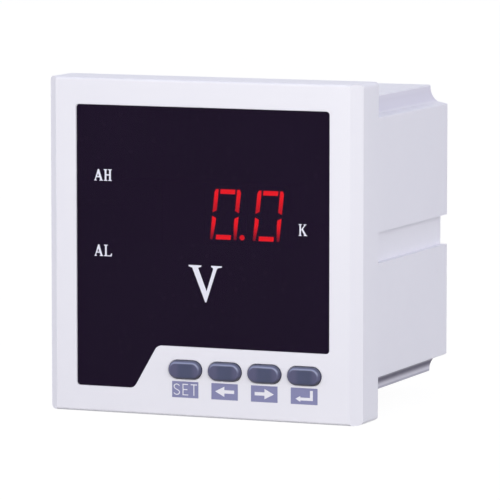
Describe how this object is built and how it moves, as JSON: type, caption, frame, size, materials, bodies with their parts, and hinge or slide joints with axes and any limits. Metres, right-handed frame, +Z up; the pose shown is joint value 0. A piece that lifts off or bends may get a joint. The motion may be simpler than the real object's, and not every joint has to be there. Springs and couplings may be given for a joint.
{
  "type": "voltmeter",
  "caption": "Square white panel meter with a dark window, a red figure display reading volts, keys below it and a deep plug-in case with rear screw terminals",
  "frame": {"origin": "centre of the panel cut-out, in the plane of the panel's front face, where the rear rim of the bezel rests", "axes": "+X to the right as seen from the front, +Y to the rear along the case, +Z up"},
  "size_m": [0.096, 0.0819, 0.096],
  "materials": {
    "white_case": "satin white ABS with a faint lavender tint",
    "dark_window": "polished dark purple tinted acrylic",
    "mark_white": "white screen print",
    "legend_blue": "lavender-blue screen print",
    "key_blue": "slate-blue moulded keys, slightly glossy",
    "switch_black": "black moulded switch",
    "plunger_white": "pale moulded plunger",
    "digit_grey": "dark grey display block",
    "lit_red": "lit red bars",
    "lamp_milky": "unlit diffused lamp",
    "board_green": "green circuit board",
    "chip_black": "black moulded chip",
    "connector_black": "black moulded connector",
    "terminal_black": "black flame-retardant terminal block",
    "terminal_plate": "nickel-plated clamp plate",
    "screw_steel": "zinc-plated screw",
    "core_iron": "laminated core steel, varnished",
    "winding_yellow": "winding under yellow tape",
    "capacitor_sleeve": "sleeved capacitor can",
    "moulded_black": "black moulded package",
    "relay_blue": "blue sealed relay case",
    "sink_aluminium": "folded aluminium",
    "fuse_glass": "glass tube",
    "clip_metal": "plated spring brass",
    "varistor_blue": "dipped blue disc",
    "crystal_can": "steel can",
    "film_red": "red dipped film capacitor",
    "resistor_blue": "blue lacquered resistors"
  },
  "bodies": {
    "meter": {"front_bezel": "white_case", "case_shell": "white_case", "display_window": "dark_window", "window_marks": "mark_white", "key_legends": "legend_blue", "set_switch": "switch_black", "left_switch": "switch_black", "right_switch": "switch_black", "enter_switch": "switch_black", "display_digit_1": "digit_grey", "display_digit_2": "digit_grey", "display_digit_3": "digit_grey", "display_digit_4": "digit_grey", "lit_bars": "lit_red", "kilo_lamp": "lamp_milky", "high_alarm_lamp": "lamp_milky", "low_alarm_lamp": "lamp_milky", "display_board": "board_green", "supply_board": "board_green", "measuring_board": "board_green", "display_driver": "chip_black", "microcontroller": "chip_black", "signal_converter": "chip_black", "supply_socket": "connector_black", "measuring_socket": "connector_black", "supply_header": "connector_black", "measuring_header": "connector_black", "upper_terminal_block": "terminal_black", "lower_terminal_block": "terminal_black", "terminal_clamps": "terminal_plate", "terminal_screws": "screw_steel", "transformer_core": "core_iron", "transformer_winding": "winding_yellow", "reservoir_capacitor": "capacitor_sleeve", "filter_capacitor": "capacitor_sleeve", "bridge_rectifier": "moulded_black", "voltage_regulator": "moulded_black", "high_alarm_relay": "relay_blue", "low_alarm_relay": "relay_blue", "heat_sink": "sink_aluminium", "fuse": "fuse_glass", "fuse_clips": "clip_metal", "varistor": "varistor_blue", "clock_crystal": "crystal_can", "film_capacitor": "film_red", "divider_resistors": "resistor_blue"},
    "set_button": {"set_key": "key_blue", "set_plunger": "plunger_white"},
    "left_button": {"left_key": "key_blue", "left_plunger": "plunger_white"},
    "right_button": {"right_key": "key_blue", "right_plunger": "plunger_white"},
    "enter_button": {"enter_key": "key_blue", "enter_plunger": "plunger_white"}
  },
  "joints": [
    {"name": "set_key_press", "type": "slide", "parent": "meter", "child": "set_button", "axis": [0, 1, 0], "range_m": [0, 0.0005], "stiffness_N_per_m": 3000, "springref_m": -0.0002},
    {"name": "left_key_press", "type": "slide", "parent": "meter", "child": "left_button", "axis": [0, 1, 0], "range_m": [0, 0.0005], "stiffness_N_per_m": 3000, "springref_m": -0.0002},
    {"name": "right_key_press", "type": "slide", "parent": "meter", "child": "right_button", "axis": [0, 1, 0], "range_m": [0, 0.0005], "stiffness_N_per_m": 3000, "springref_m": -0.0002},
    {"name": "enter_key_press", "type": "slide", "parent": "meter", "child": "enter_button", "axis": [0, 1, 0], "range_m": [0, 0.0005], "stiffness_N_per_m": 3000, "springref_m": -0.0002}
  ]
}
